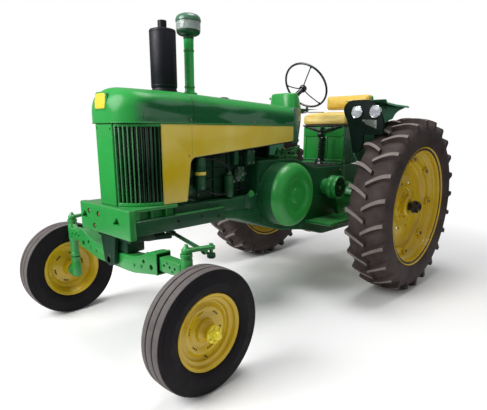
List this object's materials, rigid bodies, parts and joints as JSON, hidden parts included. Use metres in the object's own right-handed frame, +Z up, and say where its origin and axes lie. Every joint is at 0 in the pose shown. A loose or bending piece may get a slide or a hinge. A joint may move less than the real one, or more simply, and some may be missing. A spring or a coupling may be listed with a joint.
{
  "type": "vintage row-crop tractor",
  "caption": "Two-cylinder row-crop tractor with a wide steered front axle, turning wheels, lugged drive tyres, open engine and flat-topped fenders.",
  "frame": {"origin": "on the ground under the middle of the tractor's bounding box", "axes": "+Z up, -Y toward the front of the tractor, +X toward its left side as the driver sits"},
  "size_m": [1.969, 3.3666, 2.101],
  "materials": {
    "green_paint": "gloss",
    "dark_green_paint": "satin",
    "yellow_paint": "gloss",
    "black_paint": "satin",
    "bare_steel": "worn",
    "tyre": "matt",
    "clear_glass": "clear",
    "seat_cloth": "satin"
  },
  "bodies": {
    "chassis": {"front_frame": "green_paint", "front_axle_beam": "green_paint", "radiator": "black_paint", "grille": "green_paint", "nose": "green_paint", "hood": "green_paint", "cowl": "green_paint", "fuel_tank": "dark_green_paint", "engine_block": "dark_green_paint", "oil_filter": "dark_green_paint", "main_case": "green_paint", "flywheel_cover": "green_paint", "muffler": "black_paint", "intake_stack": "green_paint", "precleaner_bowl": "clear_glass", "precleaner_lid": "green_paint", "fuel_cap": "black_paint", "steering_column": "black_paint", "seat_cushion": "seat_cloth", "seat_back": "seat_cloth", "seat_frame": "black_paint", "seat_support": "green_paint", "drawbar": "black_paint", "gear_lever": "black_paint", "side_panel_left": "yellow_paint", "axle_extension_left": "green_paint", "axle_housing_left": "green_paint", "fender_left": "green_paint", "light_panel_left": "black_paint", "platform_left": "green_paint", "side_panel_right": "yellow_paint", "axle_extension_right": "green_paint", "axle_housing_right": "green_paint", "fender_right": "green_paint", "light_panel_right": "black_paint", "platform_right": "green_paint"},
    "centre_arm": {"centre_steering_arm": "black_paint"},
    "steering_wheel": {"steering_wheel": "black_paint"},
    "belt_pulley": {"belt_pulley": "green_paint"},
    "knuckle_left": {"knuckle_left": "green_paint"},
    "front_wheel_left": {"front_tyre_left": "tyre", "front_rim_left": "yellow_paint"},
    "rear_wheel_left": {"rear_tyre_left": "tyre", "rear_rim_left": "yellow_paint", "rear_hub_left": "bare_steel"},
    "tie_rod_left": {"tie_rod_left": "black_paint"},
    "knuckle_right": {"knuckle_right": "green_paint"},
    "front_wheel_right": {"front_tyre_right": "tyre", "front_rim_right": "yellow_paint"},
    "rear_wheel_right": {"rear_tyre_right": "tyre", "rear_rim_right": "yellow_paint", "rear_hub_right": "bare_steel"},
    "tie_rod_right": {"tie_rod_right": "black_paint"}
  },
  "joints": [
    {"name": "steer_left", "type": "hinge", "parent": "chassis", "child": "knuckle_left", "pos_m": [0.655, -1.3385, 0.6], "axis": [0, 0, 1], "range_deg": [-40, 40]},
    {"name": "front_wheel_left_spin", "type": "hinge", "parent": "knuckle_left", "child": "front_wheel_left", "pos_m": [0.7775, -1.3385, 0.345], "axis": [1, 0, 0], "continuous": true},
    {"name": "rear_wheel_left_spin", "type": "hinge", "parent": "chassis", "child": "rear_wheel_left", "pos_m": [0.821, 0.9475, 0.736], "axis": [1, 0, 0], "continuous": true},
    {"name": "steer_right", "type": "hinge", "parent": "chassis", "child": "knuckle_right", "pos_m": [-0.655, -1.3385, 0.6], "axis": [0, 0, 1], "range_deg": [-40, 40]},
    {"name": "front_wheel_right_spin", "type": "hinge", "parent": "knuckle_right", "child": "front_wheel_right", "pos_m": [-0.7775, -1.3385, 0.345], "axis": [1, 0, 0], "continuous": true},
    {"name": "rear_wheel_right_spin", "type": "hinge", "parent": "chassis", "child": "rear_wheel_right", "pos_m": [-0.821, 0.9475, 0.736], "axis": [1, 0, 0], "continuous": true},
    {"name": "centre_arm_turn", "type": "hinge", "parent": "chassis", "child": "centre_arm", "pos_m": [0, -1.1325, 0.69], "axis": [0, 0, 1], "range_deg": [-40, 40]},
    {"name": "tie_rod_left_pin", "type": "hinge", "parent": "centre_arm", "child": "tie_rod_left", "pos_m": [0.04, -0.9925, 0.705], "axis": [0, 0, 1], "range_deg": [-40, 40]},
    {"name": "tie_rod_right_pin", "type": "hinge", "parent": "centre_arm", "child": "tie_rod_right", "pos_m": [-0.04, -0.9925, 0.705], "axis": [0, 0, 1], "range_deg": [-40, 40]},
    {"name": "steering_wheel_turn", "type": "hinge", "parent": "chassis", "child": "steering_wheel", "pos_m": [0, 0.5875, 1.754], "axis": [0, 0.8358, 0.549], "range_deg": [-480, 480]},
    {"name": "belt_pulley_spin", "type": "hinge", "parent": "chassis", "child": "belt_pulley", "pos_m": [-0.36, -0.0625, 0.887], "axis": [1, 0, 0], "continuous": true}
  ],
  "couplings": [
    {"joint": "steer_right", "follows": "steer_left", "ratio": 1},
    {"joint": "centre_arm_turn", "follows": "steer_left", "ratio": 1},
    {"joint": "tie_rod_left_pin", "follows": "steer_left", "ratio": -1},
    {"joint": "tie_rod_right_pin", "follows": "steer_left", "ratio": -1},
    {"joint": "steering_wheel_turn", "follows": "steer_left", "ratio": 12}
  ]
}
